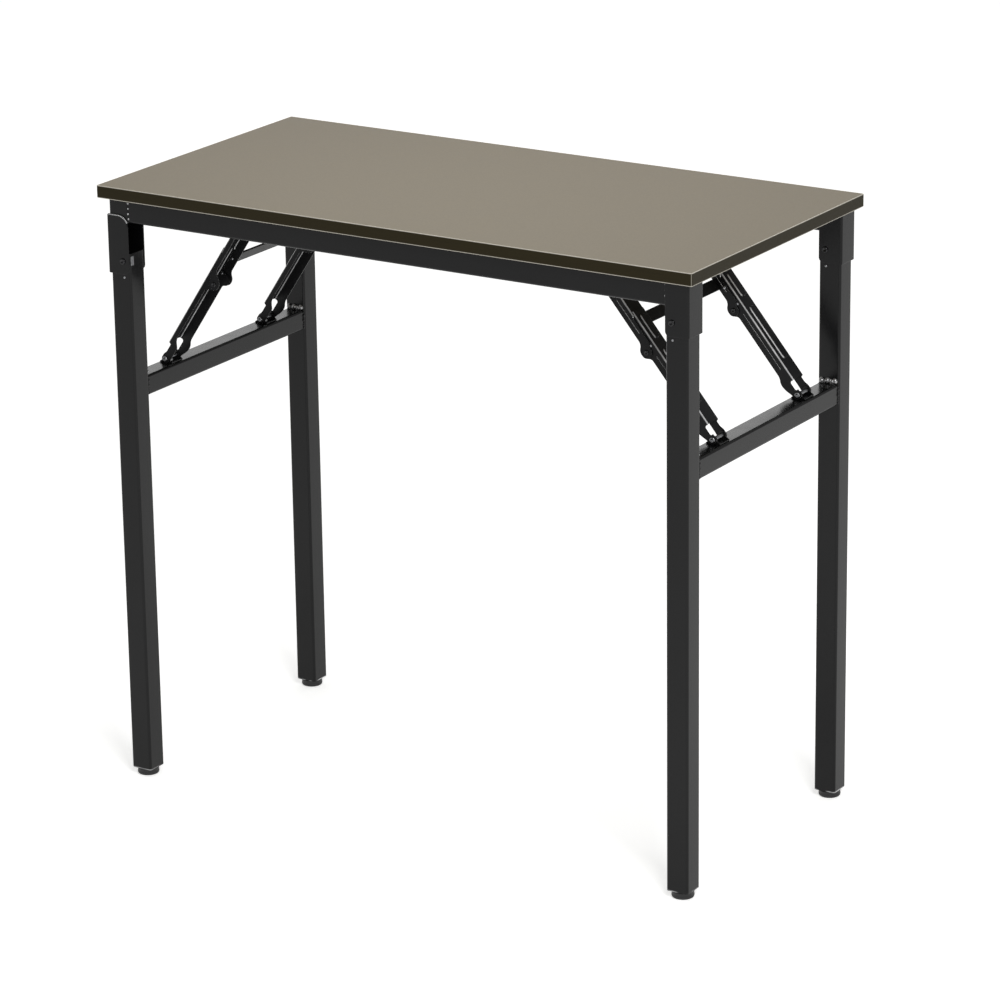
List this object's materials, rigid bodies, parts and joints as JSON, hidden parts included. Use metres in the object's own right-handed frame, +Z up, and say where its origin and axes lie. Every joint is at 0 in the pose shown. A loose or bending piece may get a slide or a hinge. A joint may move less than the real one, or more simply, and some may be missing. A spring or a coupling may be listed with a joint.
{
  "type": "folding desk",
  "caption": "Rectangular desk on square tube leg frames that fold flat under the top, held open by nested toggle braces, with adjustable glides.",
  "frame": {"origin": "floor level, under the middle of the top", "axes": "+X along the desk to the right end, +Y from the front edge to the back edge, +Z up"},
  "size_m": [0.8, 0.4, 0.74],
  "materials": {
    "laminate": "satin grey-brown laminate on board",
    "band": "dark brown edge band",
    "coated_steel": "black satin powder coat",
    "bright_steel": "zinc plated",
    "plastic": "black moulded plastic"
  },
  "bodies": {
    "top_frame": {"tabletop_board": "laminate", "edge_band": "band", "rail_front": "coated_steel", "rail_back": "coated_steel", "cross_tube_right": "coated_steel", "cross_tube_left": "coated_steel", "board_screw_right_front": "bright_steel", "board_screw_right_back": "bright_steel", "board_screw_left_front": "bright_steel", "board_screw_left_back": "bright_steel", "bracket_right_front": "coated_steel", "bracket_right_back": "coated_steel", "bracket_left_front": "coated_steel", "bracket_left_back": "coated_steel", "corner_post_front": "coated_steel", "corner_post_back": "coated_steel", "leg_rivet_right_front": "bright_steel", "leg_rivet_right_back": "bright_steel", "leg_rivet_left_front": "bright_steel", "leg_rivet_left_back": "bright_steel", "brace_anchor_right_front": "coated_steel", "brace_anchor_right_back": "coated_steel", "brace_anchor_left_front": "coated_steel", "brace_anchor_left_back": "coated_steel", "anchor_pin_right_front": "bright_steel", "anchor_pin_right_back": "bright_steel", "anchor_pin_left_front": "bright_steel", "anchor_pin_left_back": "bright_steel"},
    "leg_frame_right": {"leg_right_front": "coated_steel", "leg_right_back": "coated_steel", "leg_crossbar_right": "coated_steel", "brace_clevis_right_front": "coated_steel", "brace_clevis_right_back": "coated_steel", "clevis_pin_right_front": "bright_steel", "clevis_pin_right_back": "bright_steel", "leg_plug_right_front": "plastic", "leg_plug_right_back": "plastic"},
    "leg_frame_left": {"leg_left_front": "coated_steel", "leg_left_back": "coated_steel", "leg_crossbar_left": "coated_steel", "brace_clevis_left_front": "coated_steel", "brace_clevis_left_back": "coated_steel", "clevis_pin_left_front": "bright_steel", "clevis_pin_left_back": "bright_steel", "leg_plug_left_front": "plastic", "leg_plug_left_back": "plastic"},
    "upper_braces_right": {"upper_link_right_front": "coated_steel", "upper_link_right_back": "coated_steel", "tie_bar_right": "coated_steel"},
    "upper_braces_left": {"upper_link_left_front": "coated_steel", "upper_link_left_back": "coated_steel", "tie_bar_left": "coated_steel"},
    "lower_brace_right_front": {"lower_link_right_front": "coated_steel"},
    "lower_brace_right_back": {"lower_link_right_back": "coated_steel"},
    "lower_brace_left_front": {"lower_link_left_front": "coated_steel"},
    "lower_brace_left_back": {"lower_link_left_back": "coated_steel"},
    "glide_right_front": {"foot_right_front": "plastic"},
    "glide_right_back": {"foot_right_back": "plastic"},
    "glide_left_front": {"foot_left_front": "plastic"},
    "glide_left_back": {"foot_left_back": "plastic"}
  },
  "joints": [
    {"name": "fold_right", "type": "hinge", "parent": "top_frame", "child": "leg_frame_right", "pos_m": [0.371, 0, 0.679], "axis": [0, 1, 0], "range_deg": [0, 90]},
    {"name": "fold_left", "type": "hinge", "parent": "top_frame", "child": "leg_frame_left", "pos_m": [-0.371, 0, 0.65], "axis": [0, -1, 0], "range_deg": [0, 90]},
    {"name": "upper_swing_right", "type": "hinge", "parent": "top_frame", "child": "upper_braces_right", "pos_m": [0.22552, 0, 0.705], "axis": [0, -1, 0], "range_deg": [0, 45.95]},
    {"name": "upper_swing_left", "type": "hinge", "parent": "top_frame", "child": "upper_braces_left", "pos_m": [-0.2456, 0, 0.705], "axis": [0, 1, 0], "range_deg": [0, 50.71]},
    {"name": "lower_swing_right_front", "type": "hinge", "parent": "leg_frame_right", "child": "lower_brace_right_front", "pos_m": [0.376, -0.099, 0.5245], "axis": [0, 1, 0], "range_deg": [0, 35.74]},
    {"name": "lower_swing_right_back", "type": "hinge", "parent": "leg_frame_right", "child": "lower_brace_right_back", "pos_m": [0.376, 0.099, 0.5245], "axis": [0, 1, 0], "range_deg": [0, 35.74]},
    {"name": "lower_swing_left_front", "type": "hinge", "parent": "leg_frame_left", "child": "lower_brace_left_front", "pos_m": [-0.376, -0.099, 0.5095], "axis": [0, -1, 0], "range_deg": [0, 17.43]},
    {"name": "lower_swing_left_back", "type": "hinge", "parent": "leg_frame_left", "child": "lower_brace_left_back", "pos_m": [-0.376, 0.099, 0.5095], "axis": [0, -1, 0], "range_deg": [0, 17.43]},
    {"name": "glide_screw_right_front", "type": "slide", "parent": "leg_frame_right", "child": "glide_right_front", "axis": [0, 0, -1], "range_m": [0, 0.008]},
    {"name": "glide_screw_right_back", "type": "slide", "parent": "leg_frame_right", "child": "glide_right_back", "axis": [0, 0, -1], "range_m": [0, 0.008]},
    {"name": "glide_screw_left_front", "type": "slide", "parent": "leg_frame_left", "child": "glide_left_front", "axis": [0, 0, -1], "range_m": [0, 0.008]},
    {"name": "glide_screw_left_back", "type": "slide", "parent": "leg_frame_left", "child": "glide_left_back", "axis": [0, 0, -1], "range_m": [0, 0.008]}
  ],
  "couplings": [
    {"joint": "upper_swing_right", "follows": "fold_right", "ratio": 0.51049},
    {"joint": "lower_swing_right_front", "follows": "fold_right", "ratio": 0.39705},
    {"joint": "lower_swing_right_back", "follows": "fold_right", "ratio": 0.39705},
    {"joint": "upper_swing_left", "follows": "fold_left", "ratio": 0.56334},
    {"joint": "lower_swing_left_front", "follows": "fold_left", "ratio": 0.1936},
    {"joint": "lower_swing_left_back", "follows": "fold_left", "ratio": 0.1936}
  ]
}
